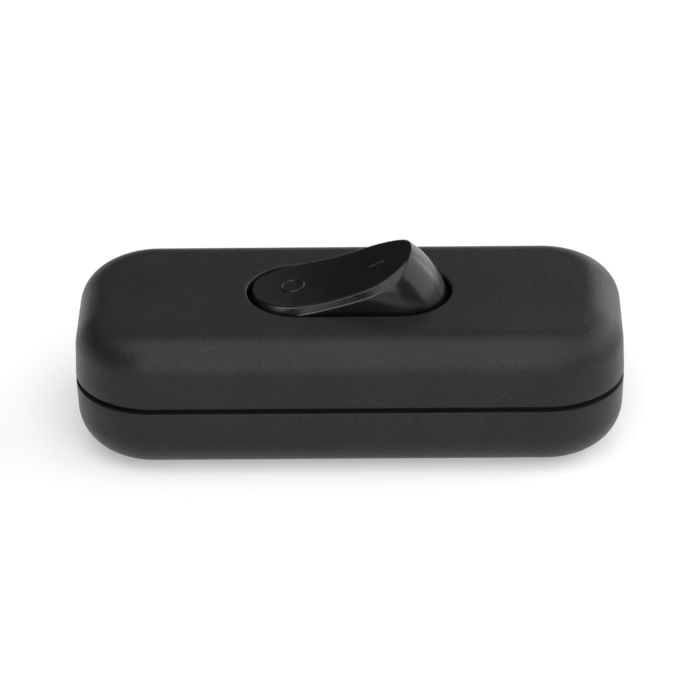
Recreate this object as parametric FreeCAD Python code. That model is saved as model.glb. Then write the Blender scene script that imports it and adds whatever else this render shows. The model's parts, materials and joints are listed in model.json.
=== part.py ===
# Inline cord switch with a rocker: a two-part moulded housing, a see-saw contact and screw terminals.
# Millimetres. X runs along the cord, Y across, Z up. The origin is the middle of the underside.
# At rest the switch is off: the rocker's left end (-X) is pressed in and its right end (+X) stands up.

import FreeCAD
import Part
import math
import os

V = FreeCAD.Vector

# Housing, outside
body_length = 68.0
body_width = 29.0
body_height = 18.2
plan_corner_radius = 9.9
top_edge_radius = 4.6
bottom_edge_radius = 5.5
draft_deg = 2.0
wall = 2.0

# Parting groove between the two shells
lower_rim_z = 8.95
groove_height = 0.75
groove_depth = 1.0
tongue_reach = 1.5
tongue_clearance = 0.1
rim_round = 0.25

# Cord inlets, one in each end, on the parting line
inlet_radius = 3.3
inlet_mouth = 0.6
inlet_collar_length = 1.5
inlet_collar_wall = 1.2
collar_gap = 0.1

# Rocker opening in the upper shell
opening_length = 25.4
opening_width = 13.2
opening_edge_round = 0.3
opening_land = 0.9
opening_relief = 0.6

# Rocker, in its own level frame with the pivot axis at its origin
pivot_drop = 4.3
rocker_tilt_deg = 16.0
rocker_gap = 0.4
rocker_end_gap = 0.65
rocker_skirt = 2.0
rocker_crown = 6.2
saddle_radius = 37.0
rocker_rim_bevel = 0.42
rocker_rim_round = 0.12
rocker_wall = 1.6
rocker_roof = 1.8
rocker_rib = 1.4
trunnion_radius = 1.5
trunnion_length = 2.3
running_clearance = 0.08

# Bearing cheeks under the upper shell, and the posts of the lower shell that close them
cheek_gap = 0.7
cheek_thickness = 1.8
cheek_length = 6.8
cheek_drop = 2.6
post_clearance = 0.13
post_horn = 0.75

# Plunger and its spring, in the tube under the rocker
tube_wall = 1.0
tube_set_back = 0.7
pocket_clearance = 0.08
pocket_roof = 2.5
plunger_radius = 1.25
plunger_tip_radius = 1.0
plunger_tip_gap = 0.06
plunger_length = 4.4
spring_wire_radius = 0.18
spring_clearance = 0.15
spring_end_gap = 0.02
spring_turns = 6

# See-saw contact bridge
bridge_rise = 1.4
bridge_tilt_deg = 9.0
bridge_vee_deg = 17.0
bridge_arm = 6.6
bridge_width = 4.0
bridge_thickness = 0.7
journal_radius = 0.75
journal_clearance = 0.05
journal_to_strip = 0.45

# Contact rivets
contact_arm = 5.4
rivet_radius = 1.1
rivet_face_radius = 0.9
rivet_height = 0.5
rivet_shank_radius = 0.6
rivet_clearance = 0.03
contact_gap_closed = 0.06

# Terminal strips
strip_rise = 2.4
strip_thickness = 0.8
strip_end = 2.3
terminal_inset = 18.0
terminal_y = 4.4
pad_length = 7.0
pad_width = 5.6
ear_length = 4.0
ear_thickness = 0.8
neutral_strip_width = 2.4
neutral_gap = 0.3
step_x = 8.4
step_run = 1.3
fixed_strip_end_x = 3.7

# Stop of the bridge's idle arm, a post that stands through a window in the strip
stop_x = 5.5
stop_length = 1.4
stop_width = 1.8
stop_gap = 0.1
window_clearance = 0.1

# Terminal screws and their square washers
terminal_screw_radius = 1.45
terminal_screw_length = 3.4
terminal_head_radius = 2.5
terminal_head_height = 1.6
washer_side = 5.2
washer_thickness = 0.8
washer_clearance = 0.15

# Cord clamps
clamp_inset = 7.0
clamp_length = 4.0
clamp_thickness = 1.6
clamp_foot_margin = 0.3
clamp_boss_radius = 2.2
clamp_seat_drop = 0.1
clamp_screw_radius = 1.2
clamp_screw_length = 6.5
clamp_head_radius = 2.1
clamp_head_height = 1.5
clamp_head_clearance = 0.1
saddle_rib_thickness = 0.8
saddle_rib_spacing = 2.6
saddle_rib_drop = 0.7

# Housing screws, from below on one diagonal
housing_screw_inset = 11.7
housing_screw_radius = 1.4
housing_hole_clearance = 0.2
housing_screw_length = 11.0
housing_head_radius = 2.5
housing_head_height = 1.9
housing_recess_clearance = 0.3
housing_recess_depth = 2.6
housing_recess_wall = 1.1
housing_boss_radius = 2.4
housing_boss_gap = 0.1
housing_boss_drop = 0.55
cord_side_clearance = 0.1

# What all screws share
screw_clearance = 0.05
screw_hole_spare = 0.6
screw_head_round = 0.6
screw_point = 0.7
slot_width = 0.7
slot_depth = 0.8

# Supports moulded into the lower shell
pedestal_margin = 0.4
screw_end_clearance = 0.35
barrier_thickness = 1.2
barrier_rise = 2.2
barrier_gap = 0.5
root = 0.6

# Levels and places that follow from the sizes above
upper_rim_z = lower_rim_z + groove_height
cord_z = lower_rim_z + groove_height / 2
tongue_foot_z = lower_rim_z - tongue_reach
ceiling_z = body_height - wall
floor_z = wall
foot_z = floor_z - root
half_length = body_length / 2
inlet_inner_x = half_length - wall - inlet_collar_length
pivot_z = body_height - pivot_drop
rocker_tilt = math.radians(rocker_tilt_deg)
rocker_half_width = opening_width / 2 - rocker_gap
rocker_reach = math.hypot(opening_length / 2 - rocker_end_gap, pivot_drop)
cheek_inner_y = rocker_half_width + cheek_gap
cheek_outer_y = cheek_inner_y + cheek_thickness
bearing_radius = trunnion_radius + running_clearance
pocket_radius = plunger_radius + pocket_clearance
tube_radius = pocket_radius + tube_wall
spring_radius = pocket_radius - spring_clearance - spring_wire_radius
strip_z = floor_z + strip_rise
strip_top = strip_z + strip_thickness
bridge_axis_z = strip_top + bridge_rise
bridge_tilt = math.radians(bridge_tilt_deg)
bridge_vee = math.radians(bridge_vee_deg)
strip_width = bridge_width
terminal_x = half_length - terminal_inset
neutral_strip_y = cheek_inner_y - neutral_gap - neutral_strip_width / 2
clamp_x = half_length - clamp_inset
clamp_seat_z = cord_z - clamp_seat_drop
clamp_screw_y = inlet_radius + clamp_thickness + clamp_head_radius + clamp_head_clearance
clamp_hole_radius = clamp_screw_radius + screw_clearance
barrier_top = strip_top + barrier_rise
housing_screw_x = half_length - housing_screw_inset
housing_screw_y = inlet_radius + cord_side_clearance + housing_boss_radius
housing_boss_top = lower_rim_z - housing_boss_drop
far = 2 * body_length


def box(x0, x1, y0, y1, z0, z1):
    return Part.makeBox(x1 - x0, y1 - y0, z1 - z0, V(x0, y0, z0))


def centred(x, y, length, width, z0, z1):
    return box(x - length / 2, x + length / 2, y - width / 2, y + width / 2, z0, z1)


def upright(radius, x, y, z0, z1):
    return Part.makeCylinder(radius, z1 - z0, V(x, y, z0))


def along_x(radius, x0, x1, y, z):
    return Part.makeCylinder(radius, x1 - x0, V(x0, y, z), V(1, 0, 0))


def along_y(radius, y0, y1, x, z):
    return Part.makeCylinder(radius, y1 - y0, V(x, y0, z), V(0, 1, 0))


def joined(first, *others):
    return first.multiFuse(list(others)).removeSplitter()


def less(first, *others):
    for other in others:
        first = first.cut(other)
    return first


def rounded_wire(length, width, radius, z):
    # A rectangle with round corners, at height z.
    a, b = length / 2, width / 2
    k = radius * (1 - math.sqrt(0.5))
    edges = []
    corners = [(1, 1), (-1, 1), (-1, -1), (1, -1)]
    for i, (sx, sy) in enumerate(corners):
        on_side = V(sx * a, sy * (b - radius), z)
        on_front = V(sx * (a - radius), sy * b, z)
        middle = V(sx * (a - k), sy * (b - k), z)
        start, end = (on_side, on_front) if i % 2 == 0 else (on_front, on_side)
        edges.append(Part.Arc(start, middle, end).toShape())
        nx, ny = corners[(i + 1) % 4]
        if i % 2 == 0:
            edges.append(Part.LineSegment(end, V(nx * (a - radius), ny * b, z)).toShape())
        else:
            edges.append(Part.LineSegment(end, V(nx * a, ny * (b - radius), z)).toShape())
    return Part.Wire(edges)


def stadium_wire(reach, half_width, z):
    # Two straight sides closed by half circles; reach is from the middle to the tip of an end.
    c = reach - half_width
    return Part.Wire([
        Part.LineSegment(V(-c, -half_width, z), V(c, -half_width, z)).toShape(),
        Part.Arc(V(c, -half_width, z), V(reach, 0, z), V(c, half_width, z)).toShape(),
        Part.LineSegment(V(c, half_width, z), V(-c, half_width, z)).toShape(),
        Part.Arc(V(-c, half_width, z), V(-reach, 0, z), V(-c, -half_width, z)).toShape(),
    ])


def loft(*wires):
    return Part.makeLoft(list(wires), True, True)


def edges_at(shape, z):
    return [e for e in shape.Edges if abs(e.BoundBox.ZMin - z) < 1e-4 and abs(e.BoundBox.ZMax - z) < 1e-4]


def plan(inset, z):
    # The housing's outline moved in by inset, at height z.
    return rounded_wire(body_length - 2 * inset, body_width - 2 * inset, plan_corner_radius - inset, z)


def drafted(inset, z_rim, z_end, end_radius):
    # One half of the housing's form: drafted walls from the rim to a face with round edges.
    lean = abs(z_end - z_rim) * math.tan(math.radians(draft_deg))
    block = loft(plan(inset, z_rim), plan(inset + lean, z_end))
    return block.makeFillet(end_radius, edges_at(block, z_end))


def straight(inset, z0, z1):
    return loft(plan(inset, z0), plan(inset, z1))


def ring(inset_out, inset_in, z0, z1):
    return straight(inset_out, z0, z1).cut(straight(inset_in, z0, z1))


def inlet_cutters():
    # The cord's way through both end walls, with a bell mouth outside.
    cutters = []
    for side in (-1, 1):
        bore = Part.makeCylinder(inlet_radius, far, V(side * inlet_inner_x, 0, cord_z), V(side, 0, 0))
        mouth = Part.makeCone(inlet_radius, inlet_radius + 2 * inlet_mouth, 2 * inlet_mouth,
                              V(side * (half_length - inlet_mouth), 0, cord_z), V(side, 0, 0))
        cutters += [bore, mouth]
    return cutters


def inlet_collar(side, z0, z1):
    # The part between two heights of the collar that lengthens an inlet inside the wall.
    outer = half_length - wall + tongue_clearance
    x0, x1 = sorted((side * inlet_inner_x, side * outer))
    radius = inlet_radius + inlet_collar_wall
    return along_x(radius, x0, x1, 0, cord_z).common(box(x0, x1, -radius, radius, z0, z1))


def housing_screw_places():
    return [(-housing_screw_x, housing_screw_y), (housing_screw_x, -housing_screw_y)]


def terminal_places():
    # Name, place and side of each screw terminal: the line is at +Y, the neutral at -Y.
    return [
        ("line_in", -terminal_x, terminal_y),
        ("line_out", terminal_x, terminal_y),
        ("neutral_in", -terminal_x, -terminal_y),
        ("neutral_out", terminal_x, -terminal_y),
    ]


def make_upper_shell():
    outer = drafted(0, upper_rim_z, body_height, top_edge_radius)
    outer = outer.makeFillet(rim_round, edges_at(outer, upper_rim_z))
    shell = less(outer, drafted(wall, upper_rim_z, ceiling_z, top_edge_radius - wall))
    tongue = ring(groove_depth, wall, tongue_foot_z, upper_rim_z + wall)
    shell = joined(shell, tongue)
    # Opening for the rocker: a straight land, then relief for its raised end.
    reach, half_width = opening_length / 2, opening_width / 2
    land_z = body_height - opening_land
    opening = loft(stadium_wire(reach, half_width, ceiling_z - wall), stadium_wire(reach, half_width, far))
    relief = loft(stadium_wire(reach + opening_relief, half_width, ceiling_z),
                  stadium_wire(reach, half_width, land_z))
    shell = less(shell, opening, relief)
    lip = [e for e in edges_at(shell, body_height) if abs(e.CenterOfMass.x) < reach + 1
           and abs(e.CenterOfMass.y) < half_width + 1e-3]
    shell = shell.makeFillet(opening_edge_round, lip)
    # Bearing cheeks, each with a slot that the rocker's trunnion enters from below.
    added = []
    cut_away = inlet_cutters()
    for side in (-1, 1):
        y0, y1 = sorted((side * cheek_inner_y, side * cheek_outer_y))
        cheek_foot = pivot_z - cheek_drop
        added.append(centred(0, (y0 + y1) / 2, cheek_length, cheek_thickness, cheek_foot, ceiling_z + root))
        cut_away.append(box(-bearing_radius, bearing_radius, y0, y1, cheek_foot, pivot_z))
        cut_away.append(along_y(bearing_radius, y0, y1, 0, pivot_z))
        added.append(inlet_collar(side, cord_z + collar_gap / 2, far))
    pilot_radius = housing_screw_radius + screw_clearance
    pilot_end = housing_recess_depth + housing_screw_length + screw_hole_spare
    for x, y in housing_screw_places():
        boss_foot = housing_boss_top + housing_boss_gap
        added.append(upright(housing_boss_radius, x, y, boss_foot, ceiling_z + root))
        cut_away.append(upright(pilot_radius, x, y, 0, pilot_end))
    return less(joined(shell, *added), *cut_away)


def make_lower_shell():
    outer = drafted(0, lower_rim_z, 0, bottom_edge_radius)
    outer = outer.makeFillet(rim_round, edges_at(outer, lower_rim_z))
    shell = less(outer, drafted(wall, lower_rim_z, floor_z, bottom_edge_radius - wall))
    added, cut_away = [], inlet_cutters()
    cut_away.append(ring(groove_depth - tongue_clearance, wall + tongue_clearance, tongue_foot_z, cord_z))
    # Posts that close the bearing slots from below.
    post_half = bearing_radius - post_clearance
    for side in (-1, 1):
        y0, y1 = sorted((side * (cheek_inner_y + post_clearance), side * (cheek_outer_y - post_clearance)))
        post = box(-post_half, post_half, y0, y1, foot_z, pivot_z - post_horn)
        added.append(less(post, along_y(bearing_radius, y0, y1, 0, pivot_z)))
        added.append(inlet_collar(side, 0, cord_z - collar_gap / 2))
    # Pedestals under the terminal pads, with room for the screw ends, and a barrier between the poles.
    pedestal_length = pad_length - 2 * pedestal_margin
    pedestal_width = pad_width - 2 * pedestal_margin
    for name, x, y in terminal_places():
        added.append(centred(x, y, pedestal_length, pedestal_width, foot_z, strip_z))
        cut_away.append(upright(terminal_screw_radius + screw_end_clearance, x, y, floor_z, strip_z))
    for side in (-1, 1):
        barrier_length = pad_length - 2 * barrier_gap
        added.append(centred(side * terminal_x, 0, barrier_length, barrier_thickness, foot_z, barrier_top))
    # Supports under the strips, and the stop of the bridge's idle arm.
    support_width = strip_width - 2 * pedestal_margin
    ledge_x = (step_x - step_run + fixed_strip_end_x) / 2
    ledge_length = step_x - step_run - fixed_strip_end_x
    added.append(centred(0, 0, 2 * strip_end, support_width, foot_z, strip_z))
    added.append(centred(-ledge_x, 0, ledge_length, support_width, foot_z, fixed_strip_z()))
    added.append(centred(0, -neutral_strip_y, 2 * strip_end, neutral_strip_width, foot_z, strip_z))
    added.append(centred(stop_x, 0, stop_length, stop_width, foot_z, idle_stop_z()))
    # Cord saddles and the bosses of the cord clamps.
    for side in (-1, 1):
        for step in (-0.5, 0.5):
            x = side * clamp_x + step * saddle_rib_spacing
            rib_top = cord_z - saddle_rib_drop
            rib = centred(x, 0, saddle_rib_thickness, 2 * inlet_radius, foot_z, rib_top)
            cord_way = along_x(inlet_radius, x - saddle_rib_thickness, x + saddle_rib_thickness, 0, cord_z)
            added.append(less(rib, cord_way))
        for y in (-clamp_screw_y, clamp_screw_y):
            added.append(upright(clamp_boss_radius, side * clamp_x, y, foot_z, clamp_seat_z))
            hole_end = clamp_seat_z + clamp_thickness - clamp_screw_length - screw_hole_spare
            cut_away.append(upright(clamp_hole_radius, side * clamp_x, y, hole_end, clamp_seat_z))
    # Bosses of the housing screws, each with a recess that sinks the head.
    recess = housing_head_radius + housing_recess_clearance
    for x, y in housing_screw_places():
        cup_top = housing_recess_depth + housing_recess_wall
        added.append(upright(recess + housing_recess_wall, x, y, foot_z, cup_top))
        added.append(upright(housing_boss_radius, x, y, foot_z, housing_boss_top))
        cut_away.append(upright(recess, x, y, 0, housing_recess_depth))
        cut_away.append(upright(housing_screw_radius + housing_hole_clearance, x, y, 0, housing_boss_top))
    return less(joined(shell, *added), *cut_away)


def rocker_blank(inset):
    # Half of a stadium plan, turned about the pivot: the gap round each end stays the same at every tilt.
    # The plan hangs down from the axis, so that the seam of the turn is cut off below the skirt.
    reach, half_width = rocker_reach - inset, rocker_half_width - inset
    span = reach - half_width
    plan = Part.Wire([
        Part.LineSegment(V(0, -half_width, 0), V(0, -half_width, -span)).toShape(),
        Part.Arc(V(0, -half_width, -span), V(0, 0, -reach), V(0, half_width, -span)).toShape(),
        Part.LineSegment(V(0, half_width, -span), V(0, half_width, 0)).toShape(),
        Part.LineSegment(V(0, half_width, 0), V(0, -half_width, 0)).toShape(),
    ])
    wheel = Part.Face(plan).revolve(V(0, 0, 0), V(0, 1, 0), 360)
    return wheel.cut(box(-far, far, -far, far, -far, -rocker_skirt))


def in_rocker_frame(shape):
    shape.rotate(V(0, 0, 0), V(0, 1, 0), -rocker_tilt_deg)
    shape.translate(V(0, 0, pivot_z))
    return shape


def make_rocker():
    saddle_axis = rocker_crown + saddle_radius
    saddle = along_y(saddle_radius, -far, far, 0, saddle_axis)
    blank = rocker_blank(0).cut(saddle)
    # The rim all round the top is a narrow bevel, with its two long edges rounded.
    rim = [e for e in blank.Edges if e.BoundBox.ZMin > rocker_crown - rocker_rim_bevel]
    blank = blank.makeChamfer(rocker_rim_bevel, rim)
    band = [e for e in blank.Edges if e.BoundBox.ZMin > rocker_crown - 2 * rocker_rim_bevel
            and e.Length > 3 * rocker_rim_bevel]
    blank = blank.makeFillet(rocker_rim_round, band)
    under_roof = along_y(saddle_radius + rocker_roof, -far, far, 0, saddle_axis)
    hollow = rocker_blank(rocker_wall).cut(under_roof)
    inner_y = rocker_half_width - rocker_wall / 2
    roof = saddle_axis - saddle_radius - rocker_roof / 2
    tube_end = tube_set_back - plunger_reach()
    parts = [
        upright(tube_radius, 0, 0, tube_end, roof),
        box(-rocker_rib / 2, rocker_rib / 2, -inner_y, inner_y, -rocker_skirt, roof),
    ]
    for side in (-1, 1):
        y0, y1 = sorted((side * inner_y, side * (rocker_half_width + trunnion_length)))
        parts.append(along_y(trunnion_radius, y0, y1, 0, 0))
    pocket = upright(pocket_radius, 0, 0, tube_end, rocker_crown - pocket_roof)
    return in_rocker_frame(joined(less(blank, hollow), *parts).cut(pocket))


def plunger_reach():
    # From the pivot to the centre of the plunger's round tip: as long as the bridge's lowered arm,
    # whose slope follows the rocker's tilt, leaves room for at every tilt.
    arm_height = journal_to_strip * math.cos(bridge_vee) + bridge_thickness / 2
    room = arm_height + plunger_tip_radius + plunger_tip_gap
    reaches = []
    for step in range(33):
        tilt = rocker_tilt * step / 32
        slope = bridge_vee - bridge_tilt * step / 32
        reaches.append(((pivot_z - bridge_axis_z) * math.cos(slope) - room) / math.cos(tilt - slope))
    return min(reaches)


def make_plunger():
    tip = -plunger_reach()
    shoulder = tip + plunger_tip_radius
    pin = upright(plunger_radius, 0, 0, shoulder, tip + plunger_length)
    nose = Part.makeCone(plunger_tip_radius, plunger_radius, shoulder - tip, V(0, 0, tip))
    ball = Part.makeSphere(plunger_tip_radius, V(0, 0, tip))
    return in_rocker_frame(joined(pin, nose, ball))


def make_plunger_spring():
    foot = plunger_length - plunger_reach() + spring_wire_radius + spring_end_gap
    head = rocker_crown - pocket_roof - spring_wire_radius - spring_end_gap
    pitch = (head - foot) / spring_turns
    helix = Part.Wire(Part.makeHelix(pitch, head - foot, spring_radius).Edges)
    section = Part.Wire([Part.makeCircle(spring_wire_radius, V(spring_radius, 0, 0), V(0, 1, 0))])
    coil = helix.makePipeShell([section], True, True)
    coil.translate(V(0, 0, foot))
    return in_rocker_frame(coil)


def in_bridge_frame(shape, tilt_deg):
    shape.rotate(V(0, 0, 0), V(0, 1, 0), tilt_deg)
    shape.translate(V(0, 0, bridge_axis_z))
    return shape


def on_arm(shape, side):
    # From a flat frame at the vee's apex to one of the bridge's two rising arms.
    shape.rotate(V(0, 0, 0), V(0, 1, 0), -side * bridge_vee_deg)
    shape.translate(V(0, 0, journal_to_strip))
    return shape


def make_contact_bridge():
    half = bridge_width / 2
    arms = []
    for side in (-1, 1):
        x0, x1 = sorted((0, side * bridge_arm))
        arms.append(on_arm(box(x0, x1, -half, half, -bridge_thickness / 2, bridge_thickness / 2), side))
    bend = along_y(bridge_thickness / 2, -half, half, 0, journal_to_strip)
    journal = along_y(journal_radius, -half, half, 0, 0)
    hole = on_arm(upright(rivet_shank_radius + rivet_clearance, -contact_arm, 0, -1, 1), -1)
    bridge = joined(arms[0], arms[1], bend, journal).cut(hole)
    return in_bridge_frame(bridge, bridge_tilt_deg)


def rivet(shank_length):
    # A contact rivet, head down at z = 0 and shank up.
    head = Part.makeCone(rivet_face_radius, rivet_radius, rivet_height)
    return joined(head, upright(rivet_shank_radius, 0, 0, 0, rivet_height + shank_length))


def make_moving_contact():
    button = rivet(bridge_thickness)
    button.translate(V(-contact_arm, 0, -bridge_thickness / 2 - rivet_height))
    return in_bridge_frame(on_arm(button, -1), bridge_tilt_deg)


def under_closed_arm(reach, drop):
    # A point under the lowered arm of the bridge, reach along it and drop below its middle layer.
    slope = bridge_vee - bridge_tilt
    x = journal_to_strip * math.sin(bridge_tilt) + reach * math.cos(slope) + drop * math.sin(slope)
    z = journal_to_strip * math.cos(bridge_tilt) + reach * math.sin(slope) - drop * math.cos(slope)
    z += bridge_axis_z
    return x, z


def fixed_contact_x():
    return -under_closed_arm(contact_arm, bridge_thickness / 2 + rivet_height)[0]


def fixed_contact_z():
    # Top of the fixed contact: just under the moving one, whose lower edge is at its inner side.
    x, z = under_closed_arm(contact_arm - rivet_face_radius, bridge_thickness / 2 + rivet_height)
    return z - contact_gap_closed


def fixed_strip_z():
    # Underside of the raised end of the strip that carries the fixed contact.
    return fixed_contact_z() - rivet_height - strip_thickness


def idle_stop_z():
    # Top of the stop: just under the idle arm, whose lowest point there is at the stop's inner edge.
    x, z = under_closed_arm(stop_x - stop_length / 2, bridge_thickness / 2)
    return z - stop_gap


def make_fixed_contact():
    button = rivet(strip_thickness)
    button.rotate(V(0, 0, 0), V(1, 0, 0), 180)
    button.translate(V(fixed_contact_x(), 0, fixed_contact_z()))
    return button


def pad(x, y):
    return centred(x, y, pad_length, pad_width, strip_z, strip_top)


def pad_hole(x, y):
    return upright(terminal_screw_radius + screw_clearance, x, y, strip_z, strip_top)


def crank(side):
    # The slanting plate that leads a strip on the middle line out to its pad.
    x0, x1 = side * step_x, side * (terminal_x - pad_length / 2)
    y0, y1 = terminal_y - pad_width / 2, terminal_y + pad_width / 2
    half = strip_width / 2
    outline = [(x0, -half), (x1, y0), (x1, y1), (x0, half), (x0, -half)]
    plate = Part.Face(Part.makePolygon([V(x, y, strip_z) for x, y in outline]))
    return plate.extrude(V(0, 0, strip_thickness))


def make_common_terminal():
    half = strip_width / 2
    strip = box(-strip_end, step_x, -half, half, strip_z, strip_top)
    ears = []
    for side in (-1, 1):
        y = side * (half - ear_thickness / 2)
        ears.append(centred(0, y, ear_length, ear_thickness, strip_z, bridge_axis_z - journal_clearance))
    cradle = along_y(journal_radius + journal_clearance, -half, half, 0, bridge_axis_z)
    window_length = stop_length + 2 * window_clearance
    window_width = stop_width + 2 * window_clearance
    window = centred(stop_x, 0, window_length, window_width, strip_z, strip_top)
    plate = joined(strip, crank(1), pad(terminal_x, terminal_y), *ears)
    return less(plate, cradle, window, pad_hole(terminal_x, terminal_y))


def make_fixed_terminal():
    # The strip climbs a step from the pad's level to the level under the fixed contact.
    low, high = strip_z, fixed_strip_z()
    thick = strip_thickness
    knee, ledge, end = -step_x, step_run - step_x, -fixed_strip_end_x
    outline = [(knee, low), (ledge, high), (end, high), (end, high + thick), (ledge, high + thick),
               (knee, low + thick), (knee, low)]
    side_face = Part.Face(Part.makePolygon([V(x, -strip_width / 2, z) for x, z in outline]))
    strip = side_face.extrude(V(0, strip_width, 0))
    hole = upright(rivet_shank_radius + rivet_clearance, fixed_contact_x(), 0, high, high + thick)
    plate = joined(strip, crank(-1), pad(-terminal_x, terminal_y))
    return less(plate, hole, pad_hole(-terminal_x, terminal_y))


def make_neutral_link():
    strip = centred(0, -neutral_strip_y, 2 * terminal_x, neutral_strip_width, strip_z, strip_top)
    ends = [pad(side * terminal_x, -terminal_y) for side in (-1, 1)]
    holes = [pad_hole(side * terminal_x, -terminal_y) for side in (-1, 1)]
    return less(joined(strip, *ends), *holes)


def screw(radius, length, head_radius, head_height, slots):
    # A pan-head screw, point down, with the underside of its head at z = 0 and one slot or a cross.
    head = upright(head_radius, 0, 0, 0, head_height)
    head = head.makeFillet(screw_head_round, edges_at(head, head_height))
    point = Part.makeCone(radius - screw_point, radius, screw_point, V(0, 0, -length))
    body = joined(head, upright(radius, 0, 0, screw_point - length, 0), point)
    reach = head_radius if slots == 1 else head_radius - screw_head_round
    for turn in range(slots):
        slot = box(-reach, reach, -slot_width / 2, slot_width / 2, head_height - slot_depth, head_height)
        slot.rotate(V(0, 0, 0), V(0, 0, 1), 90 * turn)
        body = body.cut(slot)
    return body


def make_terminal_screw(x, y):
    part = screw(terminal_screw_radius, terminal_screw_length, terminal_head_radius,
                 terminal_head_height, 1)
    part.translate(V(x, y, strip_top + washer_thickness))
    return part


def make_terminal_washer(x, y):
    top = strip_top + washer_thickness
    plate = centred(x, y, washer_side, washer_side, strip_top, top)
    return plate.cut(upright(terminal_screw_radius + washer_clearance, x, y, strip_top, top))


def make_cord_clamp(side):
    # A bridge over the cord: an arch between two feet that seat on the bosses.
    x0, x1 = side * clamp_x - clamp_length / 2, side * clamp_x + clamp_length / 2
    foot_end = clamp_screw_y + clamp_head_radius + clamp_foot_margin
    top = clamp_seat_z + clamp_thickness
    arch = along_x(inlet_radius + clamp_thickness, x0, x1, 0, cord_z)
    arch = arch.common(box(x0, x1, -foot_end, foot_end, clamp_seat_z, far))
    feet = box(x0, x1, -foot_end, foot_end, clamp_seat_z, top)
    bar = joined(arch, feet).cut(along_x(inlet_radius, x0, x1, 0, cord_z))
    for y in (-clamp_screw_y, clamp_screw_y):
        bar = bar.cut(upright(clamp_hole_radius, side * clamp_x, y, clamp_seat_z, top))
    return bar


def make_cord_clamp_screw(side, y):
    part = screw(clamp_screw_radius, clamp_screw_length, clamp_head_radius, clamp_head_height, 1)
    part.translate(V(side * clamp_x, y, clamp_seat_z + clamp_thickness))
    return part


def make_housing_screw(x, y):
    part = screw(housing_screw_radius, housing_screw_length, housing_head_radius, housing_head_height, 2)
    part.rotate(V(0, 0, 0), V(1, 0, 0), 180)
    part.translate(V(x, y, housing_recess_depth))
    return part


def make_all():
    parts = {
        "upper_shell": make_upper_shell(),
        "lower_shell": make_lower_shell(),
        "rocker": make_rocker(),
        "plunger": make_plunger(),
        "plunger_spring": make_plunger_spring(),
        "contact_bridge": make_contact_bridge(),
        "moving_contact": make_moving_contact(),
        "fixed_contact": make_fixed_contact(),
        "common_terminal": make_common_terminal(),
        "fixed_terminal": make_fixed_terminal(),
        "neutral_link": make_neutral_link(),
    }
    for name, x, y in terminal_places():
        parts[name + "_screw"] = make_terminal_screw(x, y)
        parts[name + "_washer"] = make_terminal_washer(x, y)
    for end, side in (("left", -1), ("right", 1)):
        parts["cord_clamp_" + end] = make_cord_clamp(side)
        for place, y in (("front", -clamp_screw_y), ("back", clamp_screw_y)):
            parts["cord_clamp_screw_" + end + "_" + place] = make_cord_clamp_screw(side, y)
    for end, (x, y) in zip(("left", "right"), housing_screw_places()):
        parts["housing_screw_" + end] = make_housing_screw(x, y)
    return parts


os.makedirs("parts", exist_ok=True)
for node, shape in make_all().items():
    print(node, len(shape.Solids), shape.isValid(), round(shape.Volume, 2))
    shape.exportStep("parts/" + node + ".step")
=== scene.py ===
import json
import math
import bmesh
import bpy
import numpy as np
from mathutils import Matrix, Vector


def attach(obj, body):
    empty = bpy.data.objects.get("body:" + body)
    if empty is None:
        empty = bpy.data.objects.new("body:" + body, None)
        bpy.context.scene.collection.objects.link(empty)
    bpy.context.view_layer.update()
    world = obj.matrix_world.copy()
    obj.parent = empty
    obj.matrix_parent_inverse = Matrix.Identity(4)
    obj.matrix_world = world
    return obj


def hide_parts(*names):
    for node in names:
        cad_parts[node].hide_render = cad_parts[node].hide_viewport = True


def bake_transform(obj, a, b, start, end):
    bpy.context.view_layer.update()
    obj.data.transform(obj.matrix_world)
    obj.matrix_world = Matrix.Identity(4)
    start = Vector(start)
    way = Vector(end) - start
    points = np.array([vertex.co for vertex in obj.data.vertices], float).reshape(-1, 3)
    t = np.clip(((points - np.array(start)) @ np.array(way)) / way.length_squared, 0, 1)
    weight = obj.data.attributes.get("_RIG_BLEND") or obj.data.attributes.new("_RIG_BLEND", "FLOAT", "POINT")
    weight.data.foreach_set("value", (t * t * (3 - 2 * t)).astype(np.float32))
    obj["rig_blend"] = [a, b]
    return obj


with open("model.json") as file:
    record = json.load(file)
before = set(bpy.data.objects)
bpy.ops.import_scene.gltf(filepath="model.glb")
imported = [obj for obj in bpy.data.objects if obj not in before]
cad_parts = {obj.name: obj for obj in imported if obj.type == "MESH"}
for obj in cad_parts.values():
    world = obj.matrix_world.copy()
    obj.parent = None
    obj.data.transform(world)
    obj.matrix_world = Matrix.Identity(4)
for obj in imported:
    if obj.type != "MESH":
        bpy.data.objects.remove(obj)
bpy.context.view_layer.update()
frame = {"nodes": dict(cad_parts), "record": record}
nodes = frame["nodes"]
mm = 0.001  # sizes are written in millimetres, and the meshes are in metres

around = 256  # points round every ring
turnedLoop = 96  # points round a turned solid
lineLoop = 12  # points round a thin line
roundSteps = 6  # rings across a small edge round
skinSteps, liningSteps, coreSteps = 22, 12, 10  # rings across the housing's large rounds
wallSteps = 4  # rings up the housing's leaning wall
crease, lineCrease = 32, 60  # degrees between two faces from which their edge is sharp
weld = {"copy": 0.0005, "spine": 0.001}  # points nearer than this become one


# Rings, sections and solids

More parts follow.
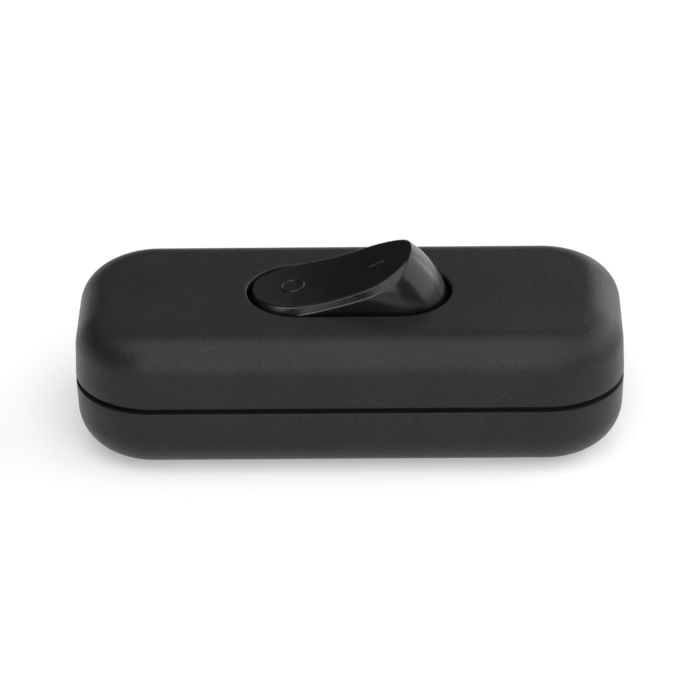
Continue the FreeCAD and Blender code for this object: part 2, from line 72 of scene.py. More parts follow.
def ovalPlan(halfLength, halfWidth, corner):
    # a rectangle with round corners, walked once round from its +X tip; each quarter is half an end,
    # a quarter arc and half a side, at even steps of its length. Gives the points and the outward normals
    walk = (np.arange(around) + 0.5) * 4 / around
    quarter = walk.astype(int)
    part = walk - quarter
    part = np.where(quarter % 2 == 0, part, 1 - part)
    end, bow, side = halfWidth - corner, corner * math.pi / 2, halfLength - corner
    s = part * (end + bow + side)
    turn = np.clip((s - end) / corner, 0, math.pi / 2)
    x = side + corner * np.cos(turn) - np.clip(s - end - bow, 0, None)
    y = np.minimum(s, end) + corner * np.sin(turn)
    signs = np.stack([np.where((quarter == 0) | (quarter == 3), 1, -1), np.where(quarter < 2, 1, -1)], -1)
    return np.stack([x, y], -1) * signs, np.stack([np.cos(turn), np.sin(turn)], -1) * signs


def arcPoints(centre, radius, fromDeg, toDeg, steps):
    # points of an arc in a section, as (outward, up)
    angle = np.radians(np.linspace(fromDeg, toDeg, steps))
    return np.stack([centre[0] + radius * np.cos(angle), centre[1] + radius * np.sin(angle)], -1)


def alongOutline(plan, section):
    # a section carried round a plan: each ring is the plan moved out along its normals, at one height
    points, normals = plan
    section = np.asarray(section, float)
    flat = points[None] + section[:, 0, None, None] * normals[None]
    height = np.broadcast_to(section[:, 1, None, None], flat.shape[:2] + (1,))
    return np.concatenate([flat, height], -1)


def ovalRings(stations):
    # one stadium ring for each station of (reach, half width, height)
    flat = np.stack([ovalPlan(reach, width, width)[0] for reach, width, height in stations])
    height = np.array([s[2] for s in stations])[:, None, None]
    return np.concatenate([flat, np.broadcast_to(height, flat.shape[:2] + (1,))], -1)


def solidOf(name, rings, closed=False, caps=(True, True)):
    # quads between neighbouring rings; the last ring joins the first, or each may be filled by one face
    count, loop = rings.shape[:2]
    row = np.arange(count if closed else count - 1)[:, None] * loop
    nextRow = (row + loop) % (count * loop)
    here = np.arange(loop)[None]
    after = (here + 1) % loop
    quads = np.stack([row + here, row + after, nextRow + after, nextRow + here], -1).reshape(-1, 4)
    faces = quads.tolist()
    if caps[0] and not closed:
        faces.append(list(range(loop))[::-1])
    if caps[1] and not closed:
        faces.append(list(range((count - 1) * loop, count * loop)))
    mesh = bpy.data.meshes.new(name)
    mesh.from_pydata((rings.reshape(-1, 3) * mm).tolist(), [], faces)
    piece = bpy.data.objects.new(name, mesh)
    bpy.context.scene.collection.objects.link(piece)
    return piece


def turnedSolid(name, profile, origin, axis):
    # a profile of (along, radius) turned about an axis, with flat ends
    axis = Vector(axis).normalized()
    sideways = axis.orthogonal().normalized()
    basis = np.array([sideways, axis.cross(sideways), axis])
    profile = np.asarray(profile, float)
    angle = np.arange(turnedLoop) * 2 * math.pi / turnedLoop
    circle = np.stack([np.cos(angle), np.sin(angle)], -1)
    flat = profile[:, 1, None, None] * circle[None]
    along = np.broadcast_to(profile[:, 0, None, None], flat.shape[:2] + (1,))
    return solidOf(name, np.concatenate([flat, along], -1) @ basis + np.array(origin))


def combine(piece, how, tool):
    # one boolean step; the tool is used up
    step = piece.modifiers.new(how, "BOOLEAN")
    step.operation, step.solver, step.object = how, "MANIFOLD", tool
    shaped = piece.evaluated_get(bpy.context.evaluated_depsgraph_get())
    made = bpy.data.meshes.new_from_object(shaped)
    piece.modifiers.clear()
    piece.data = made
    bpy.data.objects.remove(tool)


def weldPoints(mesh, distance):
    work = bmesh.new()
    work.from_mesh(mesh)
    bmesh.ops.remove_doubles(work, verts=work.verts, dist=distance * mm)
    work.to_mesh(mesh)
    work.free()


def insideOf(node, core):
    # the moulded inside of a node: a merged copy of its mesh, kept where the core reaches
    mesh = nodes[node].data.copy()
    shading = ("custom_normal", "sharp_edge", "sharp_face")
    for spare in [a.name for a in mesh.attributes if a.name in shading]:
        mesh.attributes.remove(mesh.attributes[spare])
    weldPoints(mesh, weld["copy"])
    copy = bpy.data.objects.new(node + "Inside", mesh)
    bpy.context.scene.collection.objects.link(copy)
    combine(copy, "INTERSECT", core)
    return copy


def finishPiece(piece, name, node, body, material, creaseDeg=crease):
    # smooth faces with creases at the sharp edges, then the piece's name, material and body.
    # A piece that blends between two bodies has none of its own
    mesh = piece.data
    mesh.materials.clear()
    mesh.materials.append(material)
    mesh.polygons.foreach_set("material_index", np.zeros(len(mesh.polygons), int))
    mesh.polygons.foreach_set("use_smooth", np.ones(len(mesh.polygons), bool))
    mesh.set_sharp_from_angle(angle=math.radians(creaseDeg))
    piece.name = mesh.name = name
    if body:
        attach(piece, body)
    if node:
        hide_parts(node)
    print("piece:", name, len(mesh.polygons), "faces")


# Materials

def newMaterial(name):
    material = bpy.data.materials.new(name)
    material.use_nodes = True
    tree = material.node_tree
    shader = tree.nodes["Principled BSDF"]
    place = tree.nodes.new("ShaderNodeTexCoord").outputs["Object"]
    return material, tree, shader, place


def noiseOf(tree, place, scale, detail, roughness=0.5, stretch=(1, 1, 1)):
    # noise at a number of grains for each metre, stretched along an axis where a finish has a direction
    mapping = tree.nodes.new("ShaderNodeMapping")
    mapping.inputs["Scale"].default_value = stretch
    noise = tree.nodes.new("ShaderNodeTexNoise")
    noise.inputs["Scale"].default_value = scale
    noise.inputs["Detail"].default_value = detail
    noise.inputs["Roughness"].default_value = roughness
    tree.links.new(place, mapping.inputs["Vector"])
    tree.links.new(mapping.outputs["Vector"], noise.inputs["Vector"])
    return noise.outputs["Fac"]


def ranged(tree, value, low, high, fromLow=0.3, fromHigh=0.7):
    # a value stretched to run from low to high; noise mostly lies between 0.3 and 0.7
    node = tree.nodes.new("ShaderNodeMapRange")
    for key, number in (("From Min", fromLow), ("From Max", fromHigh), ("To Min", low), ("To Max", high)):
        node.inputs[key].default_value = number
    tree.links.new(value, node.inputs["Value"])
    return node.outputs["Result"]


def mathOf(tree, how, first, second):
    node = tree.nodes.new("ShaderNodeMath")
    node.operation = how
    tree.links.new(first, node.inputs[0])
    tree.links.new(second, node.inputs[1])
    return node.outputs[0]


def tinted(tree, value, dark, light):
    # a colour between two, by a value from 0 to 1
    ramp = tree.nodes.new("ShaderNodeValToRGB")
    ramp.color_ramp.elements[0].color = (*dark, 1)
    ramp.color_ramp.elements[1].color = (*light, 1)
    tree.links.new(value, ramp.inputs["Fac"])
    return ramp.outputs["Color"]


def bumped(tree, shader, height, distance, strength):
    bump = tree.nodes.new("ShaderNodeBump")
    bump.inputs["Distance"].default_value = distance
    bump.inputs["Strength"].default_value = strength
    tree.links.new(height, bump.inputs["Height"])
    tree.links.new(bump.outputs["Normal"], shader.inputs["Normal"])


def mouldedPlastic(name, look):
    # moulded plastic: cloudy tone, uneven gloss and a fine grain that sparkles where light is mirrored
    material, tree, shader, place = newMaterial(name)
    cloud = noiseOf(tree, place, look["cloud"], detail=3)
    grain = noiseOf(tree, place, look["grain"], detail=2, roughness=0.6)
    colour = tinted(tree, ranged(tree, cloud, 0, 1), look["dark"], look["light"])
    tree.links.new(colour, shader.inputs["Base Color"])
    tree.links.new(ranged(tree, grain, *look["gloss"]), shader.inputs["Roughness"])
    tree.links.new(ranged(tree, grain, *look["specular"]), shader.inputs["Specular IOR Level"])
    bumped(tree, shader, grain, look["depth"] * mm, look["bump"])
    return material


def platedMetal(name, look):
    # worked metal: tone and gloss run in fine streaks along one direction
    material, tree, shader, place = newMaterial(name)
    streak = noiseOf(tree, place, look["grain"], detail=4, roughness=0.6, stretch=look["stretch"])
    patch = noiseOf(tree, place, look["cloud"], detail=3)
    colour = tinted(tree, ranged(tree, patch, 0, 1), look["dark"], look["light"])
    tree.links.new(colour, shader.inputs["Base Color"])
    tree.links.new(ranged(tree, streak, *look["gloss"]), shader.inputs["Roughness"])
    shader.inputs["Metallic"].default_value = 1.0
    bumped(tree, shader, streak, look["depth"] * mm, look["bump"])
    return material


housingLook = {
    "dark": (0.0115, 0.0115, 0.012), "light": (0.0155, 0.0155, 0.016), "gloss": (0.3, 0.42),
    "specular": (0.14, 0.3), "cloud": 90, "grain": 4800, "depth": 0.07, "bump": 0.8,
}
rockerLook = {
    "dark": (0.0035, 0.0035, 0.0037), "light": (0.005, 0.005, 0.0052), "gloss": (0.18, 0.24),
    "specular": (0.32, 0.38), "cloud": 140, "grain": 1400, "depth": 0.001, "bump": 0.1,
}
clampLook = dict(housingLook, dark=(0.026, 0.026, 0.028), light=(0.034, 0.034, 0.036), grain=3000)
plungerLook = {
    "dark": (0.66, 0.65, 0.6), "light": (0.76, 0.75, 0.71), "gloss": (0.32, 0.42),
    "specular": (0.45, 0.55), "cloud": 300, "grain": 3500, "depth": 0.004, "bump": 0.3,
}
metalLooks = {
    "brass": {
        "dark": (0.62, 0.42, 0.15), "light": (0.78, 0.57, 0.26), "gloss": (0.24, 0.38),
        "cloud": 220, "grain": 900, "stretch": (0.15, 1, 1), "depth": 0.006, "bump": 0.3,
    },
    "contact_silver": {
        "dark": (0.8, 0.79, 0.75), "light": (0.9, 0.89, 0.87), "gloss": (0.2, 0.34),
        "cloud": 500, "grain": 2500, "stretch": (1, 1, 1), "depth": 0.004, "bump": 0.3,
    },
    "spring_steel": {
        "dark": (0.46, 0.46, 0.47), "light": (0.6, 0.6, 0.61), "gloss": (0.22, 0.34),
        "cloud": 700, "grain": 1500, "stretch": (1, 1, 0.2), "depth": 0.003, "bump": 0.25,
    },
    "screw_steel": {
        "dark": (0.5, 0.5, 0.51), "light": (0.66, 0.65, 0.64), "gloss": (0.26, 0.4),
        "cloud": 400, "grain": 1800, "stretch": (1, 1, 0.3), "depth": 0.005, "bump": 0.3,
    },
    "washer_steel": {
        "dark": (0.52, 0.51, 0.46), "light": (0.68, 0.66, 0.6), "gloss": (0.28, 0.42),
        "cloud": 400, "grain": 1600, "stretch": (0.3, 1, 1), "depth": 0.005, "bump": 0.3,
    },
}
housingPlastic = mouldedPlastic("housingPlastic", housingLook)
rockerPlastic = mouldedPlastic("rockerPlastic", rockerLook)
slotMaterials = {name: platedMetal(name + "Metal", look) for name, look in metalLooks.items()}
slotMaterials["housing_plastic"] = housingPlastic
slotMaterials["rocker_plastic"] = rockerPlastic
slotMaterials["clamp_plastic"] = mouldedPlastic("clampPlastic", clampLook)
slotMaterials["plunger_plastic"] = mouldedPlastic("plungerPlastic", plungerLook)
print("materials:", len(slotMaterials))


# The two halves of the housing

housing = {
    "halfLength": 34.0, "halfWidth": 14.5, "corner": 9.9, "height": 18.2, "draft": 2.0,
    "topRound": 4.6, "bottomRound": 5.5, "upperRim": 9.7, "lowerRim": 8.95, "rimRound": 0.12,
    "grooveDepth": 1.0, "tongueFoot": 7.45, "lipDepth": 0.9,
    "skin": 1.7, "core": 1.4,  # how far in the new skin reaches, and how far out the copied inside does
    "support": 0.25,  # width of the flat ring that keeps a plane's shading apart from its round
    "coreFoot": 1.0,  # how far the copied inside reaches past the tongue
    "cordZ": 9.325, "inletRadius": 3.32, "inletInner": 30.0, "mouth": 0.6,
}
opening = {
    "reach": 12.7, "halfWidth": 6.6, "edgeRound": 0.3, "landZ": 17.3, "ceilingZ": 16.2, "relief": 0.6,
    "seamZ": 16.9, "seamStep": 0.03, "ledge": 1.0,
}
screwRecess = {"x": 22.3, "y": 5.8, "radius": 2.83, "depth": 2.59, "below": 1.0}

outline = ovalPlan(housing["halfLength"], housing["halfWidth"], housing["corner"])


def drafted(offset, rimZ, endZ, radius, steps):
    # half of the housing's section, from the rim to the end face: a leaning wall, then a round into the
    # face, all moved in by offset
    up = 1 if endZ > rimZ else -1
    draft = math.radians(housing["draft"])
    radius = radius - offset
    centreZ = endZ - up * (radius + offset)
    touchZ = centreZ + up * radius * math.sin(draft)
    touchOut = -offset - abs(touchZ - rimZ) * math.tan(draft)
    centre = (touchOut - radius * math.cos(draft), centreZ)
    bend = arcPoints(centre, radius, up * housing["draft"], up * 90, steps)
    face = [(centre[0] - housing["support"], endZ - up * offset)]
    return np.concatenate([[(-offset, rimZ)], bend, face])


def inletCutter(side):
    # the cord's way in: a straight bore, then a bell mouth
    x0, radius, mouth = housing["inletInner"], housing["inletRadius"], housing["mouth"]
    wallX = housing["halfLength"] - mouth
    profile = [(x0, radius), (wallX, radius), (wallX + 2 * mouth, radius + 2 * mouth)]
    return turnedSolid("inlet", profile, (0, 0, housing["cordZ"]), (side, 0, 0))


def buildUpperShell():
    h, o = housing, opening
    rim = arcPoints((-h["rimRound"], h["upperRim"] + h["rimRound"]), h["rimRound"], -90, 0, roundSteps)
    outside = drafted(0, h["upperRim"], h["height"], h["topRound"], skinSteps)[1:]
    rise = np.linspace(rim[-1], outside[0], wallSteps)[1:-1]
    flare = (o["landZ"] - o["seamZ"]) / (o["landZ"] - o["ceilingZ"]) * o["relief"]
    skinZ = h["height"] - h["skin"]
    lowFlare = (o["landZ"] - skinZ) / (o["landZ"] - o["ceilingZ"]) * o["relief"]
    lip = arcPoints((o["edgeRound"], h["height"] - o["edgeRound"]), o["edgeRound"], 90, 180, roundSteps)
    spread = [(2 * o["edgeRound"], h["height"])] + lip.tolist()
    stations = [(o["reach"] + out, o["halfWidth"] + out, z) for out, z in spread]
    stations += [
        (o["reach"], o["halfWidth"], o["landZ"]),
        (o["reach"] + flare, o["halfWidth"], o["seamZ"]),
        (o["reach"] + flare + o["seamStep"], o["halfWidth"] + o["seamStep"], o["seamZ"] - o["seamStep"]),
        (o["reach"] + lowFlare + o["seamStep"], o["halfWidth"] + o["seamStep"], skinZ),
        (o["reach"] + o["ledge"], o["halfWidth"] + o["ledge"], skinZ),
    ]
    inside = drafted(h["skin"], h["upperRim"], h["height"], h["topRound"], liningSteps)[::-1]
    tongue = [
        (-h["skin"], h["tongueFoot"]),
        (-h["grooveDepth"], h["tongueFoot"]),
        (-h["grooveDepth"], h["upperRim"]),
    ]
    rings = np.concatenate([
        alongOutline(outline, np.concatenate([rim, rise, outside])),
        ovalRings(stations),
        alongOutline(outline, np.concatenate([inside, tongue])),
    ])
    shell = solidOf("upperShell", rings, True)
    coreSection = drafted(h["core"], h["upperRim"], h["height"], h["topRound"], coreSteps)
    foot = [(-h["core"], h["tongueFoot"] - h["coreFoot"])]
    core = solidOf("core", alongOutline(outline, np.concatenate([foot, coreSection])))
    combine(shell, "UNION", insideOf("upper_shell", core))
    for side in (-1, 1):
        combine(shell, "DIFFERENCE", inletCutter(side))
    finishPiece(shell, "upperShell", "upper_shell", "housing", housingPlastic)


def buildLowerShell():
    h, r = housing, screwRecess
    outside = drafted(0, h["lowerRim"], 0, h["bottomRound"], skinSteps)[:0:-1]
    rim = arcPoints((-h["rimRound"], h["lowerRim"] - h["rimRound"]), h["rimRound"], 0, 90, roundSteps)
    rise = np.linspace(outside[-1], rim[0], wallSteps)[1:-1]
    lip = [
        (-h["lipDepth"], h["lowerRim"]),
        (-h["lipDepth"], h["tongueFoot"]),
        (-h["skin"], h["tongueFoot"]),
    ]
    inside = drafted(h["skin"], h["lowerRim"], 0, h["bottomRound"], liningSteps)[1:]
    section = np.concatenate([outside, rise, rim, lip, inside])
    shell = solidOf("lowerShell", alongOutline(outline, section))
    coreSection = drafted(h["core"], h["lowerRim"], 0, h["bottomRound"], coreSteps)[::-1]
    top = [(-h["core"], h["height"] - h["topRound"])]
    core = solidOf("core", alongOutline(outline, np.concatenate([coreSection, top])))
    combine(shell, "UNION", insideOf("lower_shell", core))
    for side in (-1, 1):
        combine(shell, "DIFFERENCE", inletCutter(side))
        place = (side * r["x"], -side * r["y"], 0)
        profile = [(-r["below"], r["radius"]), (r["depth"], r["radius"])]
        sink = turnedSolid("recess", profile, place, (0, 0, 1))
        combine(shell, "DIFFERENCE", sink)
    finishPiece(shell, "lowerShell", "lower_shell", "housing", housingPlastic)


buildUpperShell()
buildLowerShell()


# The rocker, worked out level about its pivot and then tipped to its place

rocker = {
    "pivotZ": 13.9, "tilt": 16.0, "halfWidth": 6.2, "reach": 12.794, "skirt": 2.0,
    "crown": 6.2, "dish": 35.5,  # height of the dish's middle over the pivot, and its radius lengthwise
    "sideBevel": 0.66, "endBevel": 0.07,  # size of the rim's bevel
    "bevelFade": (0.3, 1.0),  # how far the rim faces sideways where the bevel begins and where it is full
    "edgeShare": 0.32,  # how much of the bevel the rounds of its two edges take
    "skin": 0.8, "core": 0.5, "tubeFoot": 7.0, "trunnion": 1.5, "trunnionEnd": 8.5,
}
rockerRings = {
    "skirt": 5, "wall": 15, "dish": 18, "dishFirst": 0.02,  # the first ring's share of the way to the spine
    "liningSkirt": 3, "liningWall": (0.3, 0.6, 0.85, 1.0), "liningDish": 8, "liningFirst": 0.1,
    "rimTries": 16,  # rounds of substitution that find the rim
}
offMark = {"x": -5.4, "radius": 1.36, "line": 0.16, "sink": 0.02, "steps": 72}
onMark = {"x": 5.4, "length": 2.3, "line": 0.17, "sink": 0.02, "steps": 33, "tip": 0.02}
coil = {"radius": 1.0, "wire": 0.18, "foot": -0.7, "head": 3.5, "turns": 6, "steps": 40}


def dishZ(x, drop=0.0):
    # the top is a hollow cylinder lying across: lowest at the middle, rising to both ends
    return rocker["crown"] - drop + rocker["dish"] - np.sqrt(rocker["dish"] ** 2 - x ** 2)


def tipped(points):
    # from the rocker's level frame to its place at rest, with the +X end up
    tilt = math.radians(rocker["tilt"])
    x, y, z = points[..., 0], points[..., 1], points[..., 2]
    return np.stack([x * math.cos(tilt) - z * math.sin(tilt), y,
                     x * math.sin(tilt) + z * math.cos(tilt) + rocker["pivotZ"]], -1)


def rockerWall(inset, height):
    # a stadium plan turned about the pivot: an end point keeps its place across and its distance from the
    # pivot at every height, and the side points close up to suit. Height is a number for each point
    r = rocker
    half = r["halfWidth"] - inset
    flat = ovalPlan(r["reach"] - inset, half, half)[0]
    span = r["reach"] - r["halfWidth"]
    far = np.maximum(np.abs(flat[:, 0]), span)
    turned = np.sqrt(far ** 2 - height ** 2)
    x = np.sign(flat[:, 0]) * turned * np.minimum(np.abs(flat[:, 0]) / span, 1)
    return np.stack([x, flat[:, 1], np.broadcast_to(height, x.shape)], -1)


def rockerRim(inset, drop):
    # where the wall meets the dish: the height is found by rounds of substitution
    height = np.full(around, rocker["crown"] - drop)
    for turn in range(rockerRings["rimTries"]):
        height = dishZ(rockerWall(inset, height)[:, 0], drop)
    return rockerWall(inset, height)


def spineOf(edge):
    # the line along the middle that the dish's rings shrink to
    span = np.abs(edge[:, 0]).max() - rocker["halfWidth"]
    return np.stack([np.clip(edge[:, 0], -span, span), np.zeros(around)], -1)


def dishRings(edge, steps, drop, first):
    # rings of the dish from its edge in to the spine
    spine = spineOf(edge)
    share = np.linspace(first, 1, steps)[:, None, None]
    flat = edge[None, :, :2] * (1 - share) + spine[None] * share
    return np.concatenate([flat, dishZ(flat[..., :1], drop)], -1)


def rockerOutside():
    # from the skirt's foot up the wall, over the rim's bevel and into the dish. A parabola rounds each edge
    # of the bevel, and the bevel gets smaller round each end as the rim turns away from the side
    r, count = rocker, rockerRings
    rim = rockerRim(0, 0)
    ahead = np.roll(rim, -1, 0)[:, :2] - np.roll(rim, 1, 0)[:, :2]
    inward = np.stack([-ahead[:, 1], ahead[:, 0]], -1) / np.linalg.norm(ahead, axis=-1, keepdims=True)
    fade = np.clip((np.abs(inward[:, 1]) - r["bevelFade"][0]) / np.ptp(r["bevelFade"]), 0, 1)
    size = r["endBevel"] + (r["sideBevel"] - r["endBevel"]) * fade ** 2 * (3 - 2 * fade)
    reach = size * (1 + r["edgeShare"])
    lowEdge, low = (rockerWall(0, rim[:, 2] - down) for down in (size, reach))
    highEdge, high = (rim[:, :2] + inward * step[:, None] for step in (size, reach))
    highEdge, high = (np.concatenate([p, dishZ(p[:, :1])], -1) for p in (highEdge, high))
    slope = (highEdge - lowEdge) * r["edgeShare"]
    t = np.linspace(0, 1, roundSteps + 1)[:, None, None]
    outer = (1 - t) ** 2 * low + 2 * t * (1 - t) * lowEdge + t ** 2 * (lowEdge + slope)
    inner = (1 - t) ** 2 * (highEdge - slope) + 2 * t * (1 - t) * highEdge + t ** 2 * high
    edge = np.concatenate([outer, inner])
    skirtZ = np.linspace(-r["skirt"], 0, count["skirt"])
    skirt = np.stack([rockerWall(0, np.full(around, z)) for z in skirtZ])
    wall = np.stack([rockerWall(0, share * low[:, 2]) for share in np.linspace(0, 1, count["wall"])[1:-1]])
    return np.concatenate([skirt, wall, edge, dishRings(high, count["dish"], 0, count["dishFirst"])])


def cupSolid(name, outer, inner=None):
    # an outer skin closed by its own spine; with an inner skin, it is a cup open below. The last ring lies
    # folded on the spine, and its two sides become one line
    rings = outer if inner is None else np.concatenate([inner, outer])
    piece = solidOf(name, tipped(rings), False, (inner is None, False))
    weldPoints(piece.data, weld["spine"])
    return piece


def rockerLining(inset, drop, foot):
    # a plain inner form of the rocker, from the foot straight up to the skirt and on up to the dish
    count = rockerRings
    edge = rockerRim(inset, drop)
    skirtZ = np.linspace(-rocker["skirt"], 0, count["liningSkirt"])
    rows = [rockerWall(inset, np.full(around, z)) for z in skirtZ]
    rows[0][:, 2] = foot
    rows += [rockerWall(inset, edge[:, 2] * share) for share in count["liningWall"]]
    dish = dishRings(edge, count["liningDish"], drop, count["liningFirst"])
    return np.concatenate([np.stack(rows), dish])


def buildRocker():
    r = rocker
    inner = rockerLining(r["skin"], r["skin"], -r["skirt"])[::-1]
    body = cupSolid("rockerBody", rockerOutside(), inner)
    core = cupSolid("core", rockerLining(r["core"], r["core"], -r["tubeFoot"]))
    combine(body, "UNION", insideOf("rocker", core))
    for side in (-1, 1):
        pin = [(r["halfWidth"] - 2 * r["core"], r["trunnion"]), (r["trunnionEnd"], r["trunnion"])]
        combine(body, "UNION", turnedSolid("trunnion", pin, (0, 0, r["pivotZ"]), (0, side, 0)))
    finishPiece(body, "rockerBody", "rocker", "rocker", rockerPlastic)


def lineAlong(path, radius):
    # a thin round line along a path in the rocker's frame; radius has a number for each step of the path
    angle = np.arange(lineLoop) * 2 * math.pi / lineLoop
    ahead = np.gradient(path, axis=0)
    ahead = ahead / np.linalg.norm(ahead, axis=-1, keepdims=True)
    across = np.cross([0, 0, 1], ahead)
    across = across / np.linalg.norm(across, axis=-1, keepdims=True)
    above = np.cross(ahead, across)
    ring = across[:, None] * np.cos(angle)[None, :, None] + above[:, None] * np.sin(angle)[None, :, None]
    return path[:, None] + ring * radius[:, None, None]


def buildMarks():
    # raised lines on the dish: a ring at the off end, a bar at the on end
    m = offMark
    angle = np.arange(m["steps"]) * 2 * math.pi / m["steps"]
    x = m["x"] + m["radius"] * np.cos(angle)
    y = m["radius"] * np.sin(angle)
    centre = np.stack([x, y, dishZ(x) - m["sink"]], -1)
    out = np.stack([np.cos(angle), np.sin(angle), np.zeros(m["steps"])], -1)
    turn = (np.arange(lineLoop) * 2 * math.pi / lineLoop)[None, :, None]
    ring = centre[:, None] + m["line"] * (out[:, None] * np.cos(turn) + np.array([0, 0, 1]) * np.sin(turn))
    off = solidOf("offMark", tipped(ring[:, ::-1]), True)
    finishPiece(off, "offMark", None, "rocker", rockerPlastic, lineCrease)
    m = onMark
    t = np.linspace(-1, 1, m["steps"])
    x = m["x"] + t * m["length"] / 2
    path = np.stack([x, np.zeros(m["steps"]), dishZ(x) - m["sink"]], -1)
    toEnd = np.clip((1 - np.abs(t)) * m["length"] / 2 / m["line"], 0, 1)
    radius = m["line"] * np.sqrt(np.clip(1 - (1 - toEnd) ** 2, m["tip"], None))
    on = solidOf("onMark", tipped(lineAlong(path, radius)))
    finishPiece(on, "onMark", None, "rocker", rockerPlastic, lineCrease)


def buildSpring():
    # an even helix up the rocker's pocket: its head stays with the rocker, its foot follows the plunger
    c = coil
    share = np.linspace(0, 1, c["turns"] * c["steps"] + 1)
    angle = share * c["turns"] * 2 * math.pi
    height = c["foot"] + share * (c["head"] - c["foot"])
    path = np.stack([c["radius"] * np.cos(angle), c["radius"] * np.sin(angle), height], -1)
    spring = solidOf("coilSpring", tipped(lineAlong(path, np.full(len(share), c["wire"]))))
    steel = slotMaterials["spring_steel"]
    finishPiece(spring, "coilSpring", "plunger_spring", None, steel, lineCrease)
    ends = np.array([(0, 0, c["head"] - c["wire"]), (0, 0, c["foot"] + c["wire"])])
    top, bottom = tipped(ends) * mm
    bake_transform(spring, "rocker", "plunger", start=tuple(top), end=tuple(bottom))


buildRocker()
buildMarks()
buildSpring()


# Finishes of the pieces that keep their own form

for row in frame["record"]["subparts"]:
    piece = nodes[row["node"]]
    piece.data.materials.clear()
    piece.data.materials.append(slotMaterials[row["material_slot"]])


# Floor, light and camera

stage = {"floorSize": 3.0, "floorZ": -0.02, "floorColour": (0.63, 0.63, 0.63, 1), "cameraLift": 0.34}
sky = {
    "left": 0.04, "right": 0.35,  # brightness at the two sides
    "fromX": -0.35, "toX": 0.9,  # where the rise begins and ends
    "horizon": 0.15, "paleDeg": 5.0, "fadeDeg": 11.0,  # the pale band, and how high it fades out
}
lamps = {  # glow is how bright the lamp's face looks, where 1 is white
    "archLamp": {"place": (0.14, -0.71, 1.02), "size": (1.3, 2.95), "glow": 2.3},
    "keyLamp": {"place": (-0.66, -0.16, 1.08), "size": (0.26, 0.34), "glow": 5.5},
    "lineLamp": {"place": (-0.31, -1.32, 0.35), "size": (0.32, 0.15), "glow": 14.0},
    "rearLamp": {"place": (-0.15, 0.8, 0.72), "size": (1.4, 0.4), "glow": 0.45},
    "sidePanel": {"place": (1.0, 0.15, 0.47), "size": (1.4, 0.85), "glow": 2.0},
    "backPanel": {"place": (0.62, 0.9, 0.23), "size": (1.0, 0.46), "glow": 1.8},
}
shot = {
    "target": (0.0, 0.0, 9.0), "distance": 496.4, "elevation": 30.35, "yaw": -0.93, "roll": -0.87,
    "lens": 203.9, "shiftX": -0.0003, "shiftY": 0.005, "clip": (0.01, 20),
}


def seenRays(tree):
    # 1 where the eye, a reflection or a clear piece looks, 0 for the light that falls on the object
    path = tree.nodes.new("ShaderNodeLightPath")
    total = path.outputs["Is Camera Ray"]
    for name in ("Is Glossy Ray", "Is Transmission Ray"):
        total = mathOf(tree, "MAXIMUM", total, path.outputs[name])
    return total


def buildFloor():
    half, z = stage["floorSize"] / 2, stage["floorZ"] * mm
    mesh = bpy.data.meshes.new("floor")
    corners = [(-half, -half, z), (half, -half, z), (half, half, z), (-half, half, z)]
    mesh.from_pydata(corners, [], [(0, 1, 2, 3)])
    floor = bpy.data.objects.new("floor", mesh)
    bpy.context.scene.collection.objects.link(floor)
    material, tree, shader = newMaterial("paleFloor")[:3]
    shader.inputs["Base Color"].default_value = stage["floorColour"]
    shader.inputs["Roughness"].default_value = 1.0
    shader.inputs["Specular IOR Level"].default_value = 0.0
    shader.inputs["Emission Color"].default_value = (1, 1, 1, 1)
    lift = ranged(tree, seenRays(tree), 0, stage["cameraLift"], 0, 1)
    tree.links.new(lift, shader.inputs["Emission Strength"])
    mesh.materials.append(material)


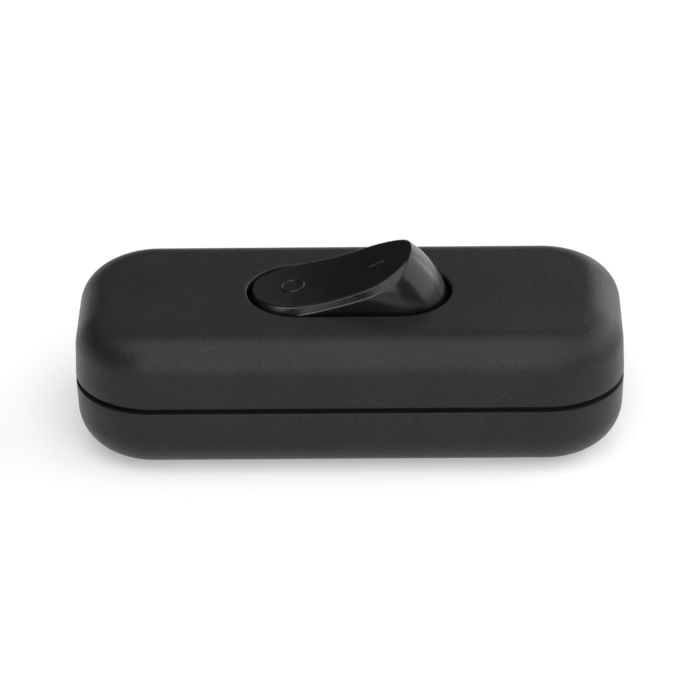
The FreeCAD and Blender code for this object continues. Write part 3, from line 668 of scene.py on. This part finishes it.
def buildWorld():
    # a sky that brightens from left to right as a square, with a pale band along the horizon
    world = bpy.data.worlds.new("studio")
    bpy.context.scene.world = world
    world.use_nodes = True
    tree = world.node_tree
    split = tree.nodes.new("ShaderNodeSeparateXYZ")
    tree.links.new(tree.nodes.new("ShaderNodeTexCoord").outputs["Generated"], split.inputs["Vector"])
    rise = ranged(tree, split.outputs["X"], 0, 1, sky["fromX"], sky["toX"])
    square = mathOf(tree, "MULTIPLY", rise, rise)
    side = ranged(tree, square, sky["left"], sky["right"], 0, 1)
    low, high = (math.sin(math.radians(sky[k])) for k in ("paleDeg", "fadeDeg"))
    band = ranged(tree, split.outputs["Z"], sky["horizon"], 0, low, high)
    tree.links.new(mathOf(tree, "MAXIMUM", side, band), tree.nodes["Background"].inputs["Strength"])
    tree.nodes["Background"].inputs["Color"].default_value = (1, 1, 1, 1)


def buildLamps():
    for name, look in lamps.items():
        lamp = bpy.data.lights.new(name, "AREA")
        lamp.shape = "RECTANGLE"
        lamp.size, lamp.size_y = look["size"]
        lamp.energy = look["glow"] * math.pi * lamp.size * lamp.size_y
        thing = bpy.data.objects.new(name, lamp)
        thing.location = look["place"]
        thing.rotation_euler = (-Vector(look["place"])).to_track_quat("-Z", "Y").to_euler()
        bpy.context.scene.collection.objects.link(thing)


def buildCamera():
    # the camera looks at the target along a line raised by elevation, turned by yaw and rolled a little
    e, yaw, roll = (math.radians(shot[k]) for k in ("elevation", "yaw", "roll"))
    forward = Vector((math.cos(e) * math.sin(yaw), math.cos(e) * math.cos(yaw), -math.sin(e)))
    right = Vector((math.cos(yaw), -math.sin(yaw), 0))
    up = Vector((math.sin(e) * math.sin(yaw), math.sin(e) * math.cos(yaw), math.cos(e)))
    axisX = math.cos(roll) * right + math.sin(roll) * up
    axisY = math.cos(roll) * up - math.sin(roll) * right
    lens = bpy.data.cameras.new("camera")
    lens.lens, lens.shift_x, lens.shift_y = shot["lens"], shot["shiftX"], shot["shiftY"]
    lens.clip_start, lens.clip_end = shot["clip"]
    camera = bpy.data.objects.new("camera", lens)
    basis = Matrix((axisX, axisY, -forward)).transposed().to_4x4()
    place = (Vector(shot["target"]) - shot["distance"] * forward) * mm
    camera.matrix_world = Matrix.Translation(place) @ basis
    bpy.context.scene.collection.objects.link(camera)
    bpy.context.scene.camera = camera


buildFloor()
buildWorld()
buildLamps()
buildCamera()
bpy.context.scene.view_settings.view_transform = "Standard"
print("stage, light and camera set")
